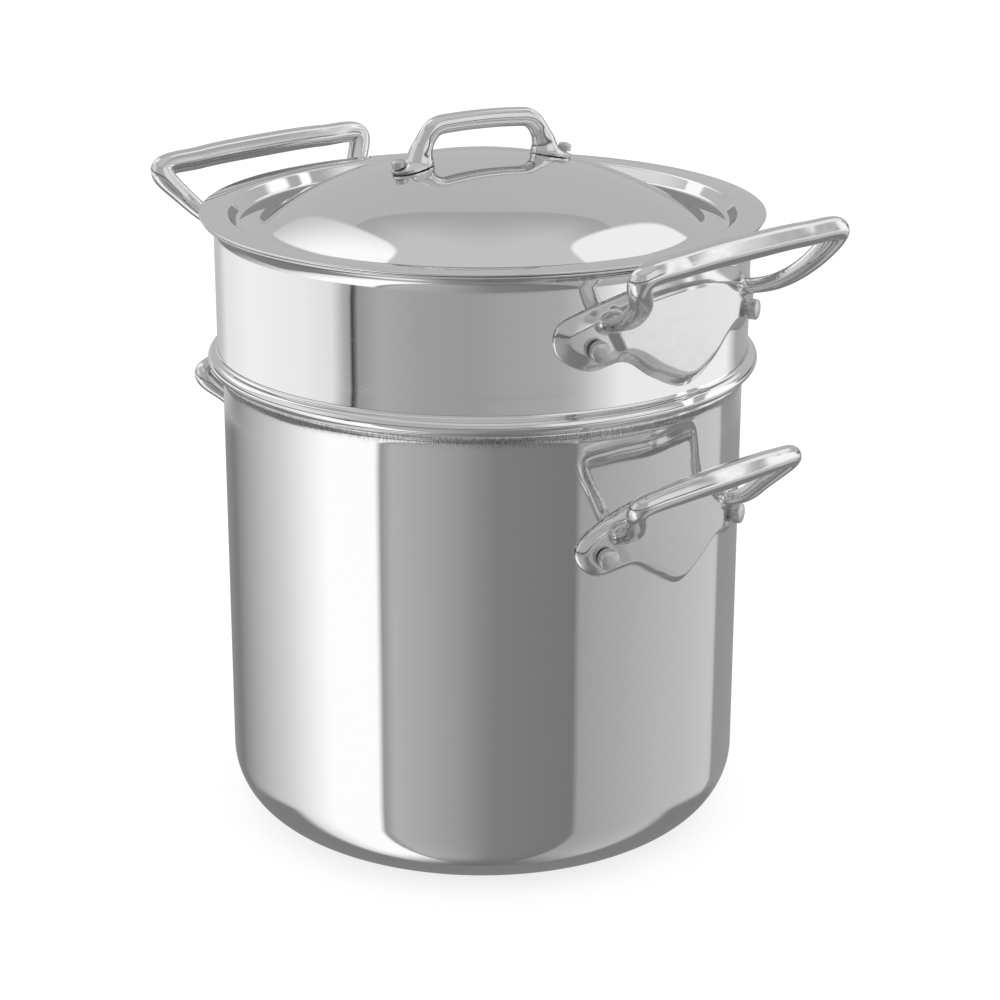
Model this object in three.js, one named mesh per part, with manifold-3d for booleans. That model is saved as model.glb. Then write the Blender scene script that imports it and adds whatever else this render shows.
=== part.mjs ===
// Pasta pot: a deep pot, a perforated insert that hangs on the pot's rim, and a domed lid.
// Millimetres, +Z up. The origin is the middle of the pot's underside, and the side handles lie along X.
import * as THREE from 'three';
import { mergeVertices } from 'three/addons/utils/BufferGeometryUtils.js';
import Module from 'manifold-3d';

const wasm = await Module();
wasm.setup();

// Clearances
const seatGap = 0.3; // between two pieces that rest on each other
const holeGap = 0.3; // around the shank of a rivet
const basketSideGap = 4; // between the basket and the pot's wall
const basketFloorGap = 25; // between the basket and the pot's floor
const recessSideGap = 4.3; // between the lid's recess and the drum
const headGap = 0.3; // under the heads of a rivet

// Pot
const potRadius = 122.5;
const potHeight = 222;
const potWall = 2.5;
const potCorner = 30;
const potFlareRadius = 5.5;
const potFlareAngle = THREE.MathUtils.degToRad(60);

// Insert
const insertSheet = 1.2;
const drumStep = 2.2; // drum radius past the pot's radius
const drumHeight = 70.8; // from the pot's rim to the insert's rim
const rimFlareRadius = 7;
const rimFlareAngle = THREE.MathUtils.degToRad(76);
const beadRadius = 3.4; // round of the shoulder bead
const beadOverhang = 3.95; // bead past the pot's lip
const beadTurn = THREE.MathUtils.degToRad(80); // where the bead runs into the drum's fillet
const ledgeCorner = 3;
const basketCorner = 22;

// Perforations of the basket
const holeRadius = 4;
const wallHoleRows = 4;
const wallHolesPerRow = 18;
const wallHolePitch = 30;
const firstRowHeight = 34; // above the basket's underside
const floorHolePitch = 26;
const floorHoleRings = 2;

// Lid
const lidSheet = 1.2;
const flangeOverhang = 1.3; // flange past the insert's rim
const recessDepth = 6.4;
const recessSlope = 3.5; // how far the recess wall leans in
const valleyWidth = 11.5;
const domeRise = 31; // above the valley
const valleyFillet = 8;
const lidTurn = THREE.MathUtils.degToRad(72.8); // the lid handle's direction, from X

// Side handles. Widths run along the wall, heights from the line through the rivets.
const potGrip = {
  rivetLine: 59, // below the pot's rim
  padHalf: 55.5,
  padTip: 1.5,
  noseRound: 2, // how far the round of the pad's end draws back
  noseHalf: 5.5,
  rivetInset: 13, // from the end of the pad
  earInset: 9.5,
  earTop: 13.6,
  earDrop: 10,
  shoulderAt: 30,
  shoulderTop: 21,
  browAt: 15,
  browTop: 23,
  crownTop: 23.5,
  notchAt: 27,
  notchDrop: 8,
  flankAt: 14,
  flankDrop: 15.1,
  lobeDrop: 21.8,
  legHalf: 32,
  legUp: 7.6,
  bendOut: 14.8,
  bendHalf: 43,
  bendUp: 19.5,
  sideOut: 24.8,
  sideHalf: 51.7,
  sideUp: 31.7,
  tipOut: 30,
  tipUp: 35.3,
  legRadius: 4.1,
  gripRadius: 5.7,
};
const insertGrip = {
  rivetLine: 34.6, // below the insert's rim
  padHalf: 68,
  padTip: 4,
  noseRound: 2.2, // how far the round of the pad's end draws back
  noseHalf: 7,
  rivetInset: 18.5, // from the end of the pad
  earInset: 12,
  earTop: 16.2,
  earDrop: 10.2,
  shoulderAt: 34,
  shoulderTop: 22.8,
  browAt: 18,
  browTop: 25.8,
  crownTop: 26.8,
  notchAt: 35,
  notchDrop: 8,
  flankAt: 19,
  flankDrop: 17.5,
  lobeDrop: 24.6,
  legHalf: 31.5,
  legUp: 8.5,
  bendOut: 24.5,
  bendHalf: 55,
  bendUp: 26.5,
  sideOut: 31.5,
  sideHalf: 65,
  sideUp: 39.4,
  tipOut: 31.5,
  tipUp: 42.8,
  legRadius: 4.3,
  gripRadius: 5.7,
};
const padThickness = 5;
const padEdge = 1.6; // upright edge of the pad below its bevel
const padBevel = 4.6;
const legRoot = 3.5; // of the legs' ends, from the back of the pad

// Lid handle. Lengths run along the handle from the lid's axis.
const footCentre = 36;
const footHalfLength = 10.2;
const footHalfWidth = 7.6;
const footEdge = 1.5;
const footDraw = 4; // how fast the foot draws in to the leg
const neckHeight = 11;
const neckShift = 4.8; // the leg's middle, inwards of the foot's
const legAt = 29.6;
const legTop = 9; // height of the legs' bend above the dome's top
const cornerAt = 24.5;
const cornerTop = 14.6;
const bowAt = 15;
const bowTop = 16;
const bowRadius = 4.4;
const lidRivetAt = 42.4;
const spotFace = 2.2; // thickness of the foot under the rivet's head

// Rivets
const sideRivet = { shank: 3, head: 4.7, height: 4.4, dome: 1.2, backHead: 6.5, backHeight: 1.2 };
const lidRivet = { shank: 1.6, head: 3.1, height: 3.8, dome: 1.1, backHead: 4, backHeight: 1 };

// Smoothness
const roundSides = 36;
const arcSteps = 2;
const domeSteps = 4;
const tubeSides = 8;
const footSides = 12;
const footLevels = 4;
const legSteps = 22;
const outlineSteps = 36;
const rivetSides = 8;
const holeSides = 6;
const cutterSides = 6;

// Finishes
const steel = (color, roughness) => new THREE.MeshStandardMaterial({ color, roughness, metalness: 1 });
const polishedSteel = steel(0xc9cacc, 0.12);
const castSteel = steel(0xcfd0d2, 0.16);
const rivetSteel = steel(0xb4b5b7, 0.3);

// A closed three.js geometry as a solid for joining and cutting.
function solid(geometry) {
  geometry.deleteAttribute('normal');
  geometry.deleteAttribute('uv');
  const merged = mergeVertices(geometry);
  const corners = merged.index.array;
  const kept = [];
  for (let i = 0; i < corners.length; i += 3) {
    const [a, b, c] = corners.slice(i, i + 3);
    if (a !== b && b !== c && c !== a) {
      kept.push(a, b, c);
    }
  }
  const vertProperties = new Float32Array(merged.attributes.position.array);
  return new wasm.Manifold(new wasm.Mesh({ numProp: 3, vertProperties, triVerts: new Uint32Array(kept) }));
}

// A solid as a named mesh.
function piece(name, body, material) {
  const { vertProperties, triVerts } = body.getMesh();
  const geometry = new THREE.BufferGeometry();
  geometry.setAttribute('position', new THREE.BufferAttribute(vertProperties, 3));
  geometry.setIndex(new THREE.BufferAttribute(triVerts, 1));
  geometry.computeVertexNormals();
  const mesh = new THREE.Mesh(geometry, material);
  mesh.name = name;
  return mesh;
}

// Closed section of a sheet: the path is one face of it, and the other lies to its left.
function sheetSection(path, thickness, steps) {
  const tiny = 1e-6;
  const face = path.getPoints(steps).filter((p, i, all) => i === 0 || p.distanceTo(all[i - 1]) > tiny);
  const back = face.map((p, i) => {
    const into = p.clone().sub(face[Math.max(i - 1, 0)]).normalize();
    const out = face[Math.min(i + 1, face.length - 1)].clone().sub(p).normalize();
    const first = i > 0 ? into : out;
    const last = i < face.length - 1 ? out : into;
    const normal = new THREE.Vector2(-first.y - last.y, first.x + last.x);
    const onAxis = new THREE.Vector2(0, p.y + thickness);
    return p.x < tiny ? onAxis : p.clone().addScaledVector(normal, thickness / (1 + first.dot(last)));
  });
  return [...face, ...back.reverse()];
}

// Turned solid about Z, from a section whose x is the radius and y the height.
function revolve(section, sides) {
  const turned = THREE.ShapeUtils.area(section) > 0 ? section : section.toReversed();
  return solid(new THREE.LatheGeometry(turned, sides).rotateX(Math.PI / 2));
}

// Solid through rings of points. Its ends are closed by strips from one side of the ring to the other.
function loft(rings) {
  const count = rings[0].length;
  const corners = [];
  for (let ring = 0; ring + 1 < rings.length; ring++) {
    for (let i = 0; i < count; i++) {
      const a = ring * count + i;
      const b = ring * count + ((i + 1) % count);
      corners.push(a, b, b + count, a, b + count, a + count);
    }
  }
  const top = (rings.length - 1) * count;
  for (let i = 0; i < count / 2; i++) {
    const j = (count - i) % count;
    const strip = [i, i + 1, count - i - 1, i, count - i - 1, j];
    corners.push(...strip.toReversed(), ...strip.map((corner) => corner + top));
  }
  const geometry = new THREE.BufferGeometry().setFromPoints(rings.flat());
  geometry.setIndex(corners);
  return solid(geometry);
}

// Round bar along a curve. Its radius goes by the place along the curve, from 0 to 1.
function bar(curve, radiusAt) {
  const { normals, binormals } = curve.computeFrenetFrames(legSteps);
  const rings = [];
  for (let step = 0; step <= legSteps; step++) {
    const place = step / legSteps;
    const radius = radiusAt(place);
    const ring = [];
    for (let side = 0; side < tubeSides; side++) {
      const angle = (side / tubeSides) * 2 * Math.PI;
      const point = curve.getPointAt(place);
      point.addScaledVector(normals[step], radius * Math.cos(angle));
      point.addScaledVector(binormals[step], radius * Math.sin(angle));
      ring.push(point);
    }
    rings.push(ring);
  }
  return loft(rings);
}

// Round cutter about Y whose flats lie at the radius.
function cutterBlank(radius, length, sides) {
  const corner = radius / Math.cos(Math.PI / sides);
  return new THREE.CylinderGeometry(corner, corner, length, sides);
}

// Round cutter along X, from one radius to another.
function radialCutter(radius, from, to, sides) {
  return cutterBlank(radius, to - from, sides).rotateZ(-Math.PI / 2).translate((from + to) / 2, 0, 0);
}

// Round cutter along Z, from one height to another.
function uprightCutter(radius, from, to, sides) {
  return cutterBlank(radius, to - from, sides).rotateX(Math.PI / 2).translate(0, 0, (from + to) / 2);
}

// Levels and radii that several pieces share
const potInner = potRadius - potWall;
const potLip = potRadius + potFlareRadius * (1 - Math.cos(potFlareAngle));
const potLipHeight = potHeight - potWall * Math.sin(potFlareAngle);
const insertSeat = potHeight + seatGap;
const drumRadius = potRadius + drumStep;
const drumInner = drumRadius - insertSheet;
const rimHeight = insertSeat + drumHeight;
const rimRadius = drumRadius + rimFlareRadius * (1 - Math.cos(rimFlareAngle));
const beadReach = potLip + beadOverhang;
const basketRadius = potInner - basketSideGap;
const basketBottom = potWall + basketFloorGap;
const flangeTop = rimHeight + seatGap + lidSheet;
const flangeRadius = rimRadius + flangeOverhang;
const recessTop = drumInner - recessSideGap - lidSheet;
const valleyOuter = recessTop - recessSlope;
const valleyHeight = flangeTop - recessDepth;
const domeBase = valleyOuter - valleyWidth;
const domeRadius = (domeBase ** 2 + domeRise ** 2) / (2 * domeRise);
const domeTop = valleyHeight + domeRise;

// Drawn pot: floor, corner, wall and pouring lip.
function potSection() {
  const flareStart = potLipHeight - potFlareRadius * Math.sin(potFlareAngle);
  const path = new THREE.Path();
  path.moveTo(0, 0);
  path.lineTo(potRadius - potCorner, 0);
  path.absarc(potRadius - potCorner, potCorner, potCorner, -Math.PI / 2, 0, false);
  path.lineTo(potRadius, flareStart);
  path.absarc(potRadius + potFlareRadius, flareStart, potFlareRadius, Math.PI, Math.PI - potFlareAngle, true);
  return sheetSection(path, potWall, arcSteps);
}

// Drawn insert: basket, ledge on the pot's rim, shoulder bead, drum and flared rim.
function insertSection() {
  const beadCentre = beadReach - beadRadius;
  const beadHeight = insertSeat + beadRadius;
  const beadEnd = beadCentre + beadRadius * Math.cos(beadTurn);
  const filletRadius = (beadEnd - drumRadius) / (1 - Math.cos(beadTurn));
  const filletHeight = beadHeight + (beadRadius + filletRadius) * Math.sin(beadTurn);
  const rimEdge = rimHeight - insertSheet * Math.sin(rimFlareAngle);
  const flareStart = rimEdge - rimFlareRadius * Math.sin(rimFlareAngle);
  const path = new THREE.Path();
  path.moveTo(0, basketBottom);
  path.lineTo(basketRadius - basketCorner, basketBottom);
  path.absarc(basketRadius - basketCorner, basketBottom + basketCorner, basketCorner, -Math.PI / 2, 0, false);
  path.lineTo(basketRadius, insertSeat - ledgeCorner);
  path.absarc(basketRadius + ledgeCorner, insertSeat - ledgeCorner, ledgeCorner, Math.PI, Math.PI / 2, true);
  path.lineTo(beadCentre, insertSeat);
  path.absarc(beadCentre, beadHeight, beadRadius, -Math.PI / 2, beadTurn, false);
  path.absarc(drumRadius + filletRadius, filletHeight, filletRadius, Math.PI + beadTurn, Math.PI, true);
  path.lineTo(drumRadius, flareStart);
  path.absarc(drumRadius + rimFlareRadius, flareStart, rimFlareRadius, Math.PI, Math.PI - rimFlareAngle, true);
  return sheetSection(path, insertSheet, arcSteps);
}

// Pressed lid: dome, valley, recess wall and flange, along its upper face.
function lidSection() {
  const baseAngle = Math.asin(domeBase / domeRadius);
  const filletRun = valleyFillet * Math.tan(baseAngle / 2);
  const arcEnd = Math.PI / 2 - baseAngle + filletRun / domeRadius;
  const path = new THREE.Path();
  path.moveTo(0, domeTop);
  path.absarc(0, domeTop - domeRadius, domeRadius, Math.PI / 2, arcEnd, true);
  path.quadraticCurveTo(domeBase, valleyHeight, domeBase + filletRun, valleyHeight);
  path.lineTo(valleyOuter, valleyHeight);
  path.lineTo(recessTop, flangeTop);
  path.lineTo(flangeRadius, flangeTop);
  return sheetSection(path, -lidSheet, domeSteps);
}

// Perforations of the basket's wall and floor.
function basketHoles() {
  const holes = [];
  const through = 2 * insertSheet;
  for (let row = 0; row < wallHoleRows; row++) {
    const height = basketBottom + firstRowHeight + row * wallHolePitch;
    for (let i = 0; i < wallHolesPerRow; i++) {
      const turn = ((i + 0.25 + (row % 2) / 2) / wallHolesPerRow) * 2 * Math.PI;
      const cutter = radialCutter(holeRadius, basketRadius - through, basketRadius + through, holeSides);
      holes.push(solid(cutter.translate(0, 0, height).rotateZ(turn)));
    }
  }
  for (let ring = 0; ring <= floorHoleRings; ring++) {
    const count = Math.max(6 * ring, 1);
    for (let i = 0; i < count; i++) {
      const cutter = uprightCutter(holeRadius, basketBottom - through, basketBottom + through, holeSides);
      holes.push(solid(cutter.translate(ring * floorHolePitch, 0, 0).rotateZ((i / count) * 2 * Math.PI)));
    }
  }
  return wasm.Manifold.union(holes);
}

// Shield-shaped pad, bent round the wall, with a bevelled border.
function handlePad(grip, wallRadius) {
  const earAt = grip.padHalf - grip.earInset;
  const noseAt = grip.padHalf - grip.noseRound;
  const half = [
    [grip.padHalf, grip.padTip],
    [noseAt, grip.padTip + grip.noseHalf],
    [earAt, grip.earTop],
    [grip.shoulderAt, grip.shoulderTop],
    [grip.browAt, grip.browTop],
    [0, grip.crownTop],
  ];
  const lower = [
    [noseAt, grip.padTip - grip.noseHalf],
    [earAt - grip.padTip, -grip.earDrop],
    [grip.notchAt, -grip.notchDrop],
    [grip.flankAt, -grip.flankDrop],
    [0, -grip.lobeDrop],
  ];
  const mirrored = (points) => points.map(([along, up]) => [-along, up]).toReversed();
  const corners = [...half, ...mirrored(half.slice(0, -1)), ...mirrored(lower.slice(0, -1)).toReversed()];
  corners.push(...lower.toReversed());
  const spline = new THREE.CatmullRomCurve3(corners.map(([along, up]) => new THREE.Vector3(along, up, 0)), true);
  const topShare = (2 * (half.length - 1)) / corners.length;
  const outline = [];
  for (let i = 0; i < outlineSteps; i++) {
    const turn = (2 * i) / outlineSteps;
    const place = turn < 1 ? turn * topShare : topShare + (turn - 1) * (1 - topShare);
    outline.push(spline.getPoint(place));
  }
  const inset = outline.map((point, i) => {
    const before = outline[(i + outlineSteps - 1) % outlineSteps];
    const after = outline[(i + 1) % outlineSteps];
    const along = after.clone().sub(before).normalize();
    return new THREE.Vector3(point.x - along.y * padBevel, point.y + along.x * padBevel, 0);
  });
  const backRadius = wallRadius + seatGap;
  const bend = (points, out) =>
    points.map((point) => {
      const angle = point.x / wallRadius;
      const radius = backRadius + out;
      return new THREE.Vector3(radius * Math.cos(angle), radius * Math.sin(angle), point.y);
    });
  return loft([bend(outline, 0), bend(outline, padEdge), bend(inset, padThickness)]);
}

// Cast side handle at +X: the pad, and a loop whose legs rise from it and spread.
function sideHandle(grip, wallRadius) {
  const at = (out, half, up) => new THREE.Vector3(wallRadius + out, half, up);
  const rootTurn = grip.legHalf / wallRadius;
  const rootRadius = wallRadius + seatGap + legRoot;
  const root = (side) =>
    new THREE.Vector3(rootRadius * Math.cos(rootTurn), side * rootRadius * Math.sin(rootTurn), grip.legUp);
  const curve = new THREE.CatmullRomCurve3([
    root(-1),
    at(grip.bendOut, -grip.bendHalf, grip.bendUp),
    at(grip.sideOut, -grip.sideHalf, grip.sideUp),
    at(grip.tipOut, 0, grip.tipUp),
    at(grip.sideOut, grip.sideHalf, grip.sideUp),
    at(grip.bendOut, grip.bendHalf, grip.bendUp),
    root(1),
  ]);
  const swell = grip.gripRadius - grip.legRadius;
  const loop = bar(curve, (place) => grip.legRadius + swell * Math.sin(Math.PI * place) ** 4);
  return handlePad(grip, wallRadius).add(loop).subtract(rivetHoles(grip, wallRadius));
}

// Turn of a side handle's rivets, away from the middle of its pad.
function rivetTurn(grip, wallRadius) {
  return (grip.padHalf - grip.rivetInset) / wallRadius;
}

// Holes for the two rivets of a side handle at +X, through its pad and the wall behind it.
function rivetHoles(grip, wallRadius) {
  const angle = rivetTurn(grip, wallRadius);
  const reach = 4 * padThickness;
  const hole = () => radialCutter(sideRivet.shank + holeGap, wallRadius - reach, wallRadius + reach, cutterSides);
  return solid(hole().rotateZ(angle)).add(solid(hole().rotateZ(-angle)));
}

// The same holes in the wall that carries a handle at +X and one at -X.
function wallRivetHoles(grip, wallRadius, height) {
  const holes = rivetHoles(grip, wallRadius).translate([0, 0, height]);
  return holes.add(holes.rotate([0, 0, 180]));
}

// Rivet along Z: flat back head below 0, shank through the stack, and a domed head on top.
function rivet(size, stack) {
  const under = stack + 2 * headGap;
  const top = under + size.height;
  const path = new THREE.Path();
  path.moveTo(0, -size.backHeight);
  path.lineTo(size.backHead, -size.backHeight);
  path.lineTo(size.backHead, 0);
  path.lineTo(size.shank, 0);
  path.lineTo(size.shank, under);
  path.lineTo(size.head, under);
  path.lineTo(size.head, top - size.dome);
  path.quadraticCurveTo(size.head, top, 0, top);
  return revolve(path.getPoints(arcSteps), rivetSides);
}

// One handle with its rivets, as a group at +X.
function handleSet(names, grip, wallRadius, wall, height) {
  const set = new THREE.Group();
  const handle = piece(names.handle, sideHandle(grip, wallRadius), castSteel);
  handle.position.z = height;
  set.add(handle);
  const innerFlat = (wallRadius - wall) * Math.cos(Math.PI / roundSides); // the wall's flats lie inside its radius
  const stack = wallRadius + seatGap + padThickness - innerFlat;
  names.rivets.forEach((name, i) => {
    const arm = new THREE.Group();
    arm.rotation.z = (2 * i - 1) * rivetTurn(grip, wallRadius);
    const pin = piece(name, rivet(sideRivet, stack), rivetSteel);
    pin.position.set(innerFlat - headGap, 0, height);
    pin.rotation.y = Math.PI / 2;
    arm.add(pin);
    set.add(arm);
  });
  return set;
}

// Both handles of one vessel, the second turned half round.
function handlePair(vessel, grip, wallRadius, wall, height) {
  const pair = new THREE.Group();
  ['right', 'left'].forEach((side, i) => {
    const names = {
      handle: `${vessel}_handle_${side}`,
      rivets: [`${vessel}_rivet_${side}_1`, `${vessel}_rivet_${side}_2`],
    };
    const set = handleSet(names, grip, wallRadius, wall, height);
    set.rotation.z = i * Math.PI;
    pair.add(set);
  });
  return pair;
}

// Point on the dome at a distance along the lid handle, and the dome's slope there.
function onDome(along) {
  const lean = Math.asin(along / domeRadius);
  return { lean, height: domeTop - domeRadius * (1 - Math.cos(lean)) };
}

// A geometry made upright on the origin, set upright on the dome at a distance along +X.
function setOnDome(geometry, along) {
  const { lean, height } = onDome(along);
  return geometry.rotateY(lean).translate(along, 0, height);
}

// Foot of the lid handle at +X: an oval that draws in to the leg.
function lidFoot() {
  const { lean, height } = onDome(footCentre);
  const rings = [0, footEdge].map((level) => ({ level, share: 0 }));
  for (let i = 1; i <= footLevels; i++) {
    const rise = i / footLevels;
    rings.push({ level: footEdge + (neckHeight - footEdge) * rise, share: 1 - (1 - rise) ** footDraw });
  }
  const shaped = rings.map(({ level, share }) => {
    const ring = [];
    for (let i = 0; i < footSides; i++) {
      const angle = (i / footSides) * 2 * Math.PI;
      const long = THREE.MathUtils.lerp(footHalfLength, bowRadius, share);
      const wide = THREE.MathUtils.lerp(footHalfWidth, bowRadius, share);
      const point = new THREE.Vector3(long * Math.cos(angle) - neckShift * share, wide * Math.sin(angle), level);
      point.z += seatGap;
      point.applyAxisAngle(new THREE.Vector3(0, 1, 0), lean);
      ring.push(point.add(new THREE.Vector3(footCentre, 0, height)));
    }
    return ring;
  });
  return loft(shaped);
}

// Cast lid handle along X: a bow on two feet, with a flat seat for a rivet at each tip.
function lidHandle() {
  const neck = onDome(footCentre);
  const root = new THREE.Vector3(-neckShift, 0, neckHeight / 2);
  root.applyAxisAngle(new THREE.Vector3(0, 1, 0), neck.lean).add(new THREE.Vector3(footCentre, 0, neck.height));
  const half = [
    root,
    new THREE.Vector3(legAt, 0, domeTop + legTop),
    new THREE.Vector3(cornerAt, 0, domeTop + cornerTop),
    new THREE.Vector3(bowAt, 0, domeTop + bowTop),
  ];
  const mirrored = half.map((point) => new THREE.Vector3(-point.x, 0, point.z)).toReversed();
  const bow = bar(new THREE.CatmullRomCurve3([...half, ...mirrored]), () => bowRadius);
  const foot = lidFoot();
  const seat = spotFace + seatGap;
  const reach = neckHeight;
  const cut = solid(setOnDome(uprightCutter(lidRivet.head + holeGap, seat, seat + reach, cutterSides), lidRivetAt))
    .add(lidRivetHole());
  const turned = (body) => body.rotate([0, 0, 180]);
  return bow.add(foot).add(turned(foot)).subtract(cut).subtract(turned(cut));
}

// Hole for the lid rivet at +X, through the foot and the dome.
function lidRivetHole() {
  const reach = 4 * spotFace;
  return solid(setOnDome(uprightCutter(lidRivet.shank + holeGap, -reach, reach, cutterSides), lidRivetAt));
}

// The lid's rivets, upright on the dome at the tips of the handle's feet.
function lidRivets() {
  const set = new THREE.Group();
  const { lean, height } = onDome(lidRivetAt);
  const stack = lidSheet + seatGap + spotFace;
  ['lid_rivet_1', 'lid_rivet_2'].forEach((name, i) => {
    const arm = new THREE.Group();
    arm.rotation.z = i * Math.PI;
    const pin = piece(name, rivet(lidRivet, stack), rivetSteel);
    const drop = lidSheet + headGap;
    pin.position.set(lidRivetAt - drop * Math.sin(lean), 0, height - drop * Math.cos(lean));
    pin.rotation.y = lean;
    arm.add(pin);
    set.add(arm);
  });
  return set;
}

// Pot
const potRivetHeight = potHeight - potGrip.rivetLine;
const pot = new THREE.Group();
const potBody = revolve(potSection(), roundSides);
pot.add(piece('pot_body', potBody.subtract(wallRivetHoles(potGrip, potRadius, potRivetHeight)), polishedSteel));
pot.add(handlePair('pot', potGrip, potRadius, potWall, potRivetHeight));

// Insert
const insertRivetHeight = rimHeight - insertGrip.rivetLine;
const insert = new THREE.Group();
const insertBody = revolve(insertSection(), roundSides).subtract(basketHoles());
const insertWithHoles = insertBody.subtract(wallRivetHoles(insertGrip, drumRadius, insertRivetHeight));
insert.add(piece('insert_body', insertWithHoles, polishedSteel));
insert.add(handlePair('insert', insertGrip, drumRadius, insertSheet, insertRivetHeight));

// Lid
const lid = new THREE.Group();
const lidHoles = lidRivetHole();
const lidBody = revolve(lidSection(), roundSides).subtract(lidHoles).subtract(lidHoles.rotate([0, 0, 180]));
lid.add(piece('lid_body', lidBody, polishedSteel));
lid.add(piece('lid_handle', lidHandle(), castSteel));
lid.add(lidRivets());
lid.rotation.z = lidTurn;

const pastaPot = new THREE.Group();
pastaPot.add(pot, insert, lid);

export default pastaPot;
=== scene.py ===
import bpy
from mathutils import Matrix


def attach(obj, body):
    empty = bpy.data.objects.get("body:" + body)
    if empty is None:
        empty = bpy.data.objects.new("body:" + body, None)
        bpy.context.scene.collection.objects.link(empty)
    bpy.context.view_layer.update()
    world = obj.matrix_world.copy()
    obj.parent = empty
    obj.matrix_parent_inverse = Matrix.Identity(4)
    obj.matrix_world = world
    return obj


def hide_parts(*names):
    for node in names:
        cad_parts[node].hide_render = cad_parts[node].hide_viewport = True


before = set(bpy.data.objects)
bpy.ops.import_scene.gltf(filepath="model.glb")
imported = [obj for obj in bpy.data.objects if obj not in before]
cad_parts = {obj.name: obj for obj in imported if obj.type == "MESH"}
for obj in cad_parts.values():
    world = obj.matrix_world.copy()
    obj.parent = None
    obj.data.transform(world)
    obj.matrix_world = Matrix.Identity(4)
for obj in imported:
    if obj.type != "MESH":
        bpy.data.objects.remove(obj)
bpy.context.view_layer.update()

import math

import bpy
import numpy as np
from mathutils import Euler, Matrix

# Sizes are in millimetres, as on the drawing, and meshes are in metres.
METRE = 0.001
MERGE_DISTANCE = 1e-6
SHELL_SEGMENTS = 288
RIVET_SEGMENTS = 40

# Clearances
SEAT_GAP = 0.3
HEAD_GAP = 0.3

# Pot
POT_RADIUS = 122.5
POT_HEIGHT = 222.0
POT_WALL = 2.5
POT_CORNER = 30.0
POT_FLARE_RADIUS = 5.5
POT_FLARE_ANGLE = 60.0

# Insert
INSERT_SHEET = 1.2
DRUM_RADIUS = POT_RADIUS + 2.2
INSERT_SEAT = POT_HEIGHT + SEAT_GAP
RIM_HEIGHT = INSERT_SEAT + 70.8
RIM_FLARE_RADIUS = 7.0
RIM_FLARE_ANGLE = 76.0
BEAD_RADIUS = 3.4
BEAD_OVERHANG = 3.95
BEAD_TURN = 80.0
LEDGE_CORNER = 3.0
BASKET_RADIUS = POT_RADIUS - POT_WALL - 4.0
BASKET_BOTTOM = POT_WALL + 25.0
BASKET_CORNER = 22.0

# Lid
LID_SHEET = 1.2
FLANGE_OVERHANG = 1.3
RECESS_SIDE_GAP = 4.3
RECESS_DEPTH = 6.4
RECESS_SLOPE = 3.5
VALLEY_WIDTH = 11.5
VALLEY_FILLET = 8.0
RECESS_FOOT_FILLET = 2.6
RECESS_TOP_FILLET = 1.8
DOME_RISE = 31.0
LID_TURN = 72.8

POT_LIP = POT_RADIUS + POT_FLARE_RADIUS * (1 - math.cos(math.radians(POT_FLARE_ANGLE)))
RIM_RADIUS = DRUM_RADIUS + RIM_FLARE_RADIUS * (1 - math.cos(math.radians(RIM_FLARE_ANGLE)))
FLANGE_TOP = RIM_HEIGHT + SEAT_GAP + LID_SHEET
FLANGE_RADIUS = RIM_RADIUS + FLANGE_OVERHANG
RECESS_TOP = DRUM_RADIUS - INSERT_SHEET - RECESS_SIDE_GAP - LID_SHEET
VALLEY_OUTER = RECESS_TOP - RECESS_SLOPE
VALLEY_HEIGHT = FLANGE_TOP - RECESS_DEPTH
DOME_BASE = VALLEY_OUTER - VALLEY_WIDTH
DOME_RADIUS = (DOME_BASE**2 + DOME_RISE**2) / (2 * DOME_RISE)
DOME_TOP = VALLEY_HEIGHT + DOME_RISE
DOME_CENTRE = DOME_TOP - DOME_RADIUS

# Side handles: lengths along the wall, heights from the rivets' line, loop points as (out, along, up)
POT_GRIP = dict(
    wall=POT_RADIUS, height=POT_HEIGHT - 59.0, rivet_at=42.5,
    upper=[(55.5, 1.5), (53.5, 7), (46, 13.6), (30, 21), (15, 23), (0, 23.5)],
    lower=[(53.5, -4), (44.5, -10), (27, -8), (14, -15.1), (0, -21.8)],
    root=(33.5, 7.5),
    loop=[(8, 38, 12.3), (14.8, 43, 19.5), (23.8, 51, 31), (28.2, 31, 34.6), (29.4, 0, 35.2)],
    leg=4.6, flat=1.5, grip=5.7, bevel=4.6, edge=1.4, steep=85.0,
    dish=0.6, dish_from=31.0, scoop=(37, 12.2),
)
INSERT_GRIP = dict(
    wall=DRUM_RADIUS, height=RIM_HEIGHT - 34.6, rivet_at=49.5,
    upper=[(68, 4), (65.8, 11), (56, 16.2), (34, 22.8), (18, 25.8), (0, 26.8)],
    lower=[(65.8, -3), (52, -10.2), (35, -8), (19, -17.5), (0, -24.6)],
    root=(43, 10.5),
    loop=[(11, 49.5, 15.8), (24.5, 57, 26.2), (31.8, 64.8, 39.6), (32.8, 40, 42.2), (33, 0, 42.9)],
    leg=5.2, flat=1.55, grip=5.7, bevel=6.5, edge=1.0, steep=60.0,
    dish=1.2, dish_from=36.0, scoop=(42.5, 18.5),
)
PAD_THICKNESS = 5.0
PAD_ROUNDING = 0.9
FACE_SLOPE = 0.8
DISH_SLANT = 0.5
DISH_FADE = 6.0
SCOOP_RADIUS = 4.3
SCOOP_OUT = 7.6
SCOOP_ROUNDING = 1.2
LEG_ROOT = -2.0
LEG_FILLET = 3.4
LOOP_STEPS = 24
OVAL_TO_ROUND = (40, 68)
GRIP_ROOM = dict(ends=8, sides=4, below=3, above=9)
GRIP_FINENESS = 0.65

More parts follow.
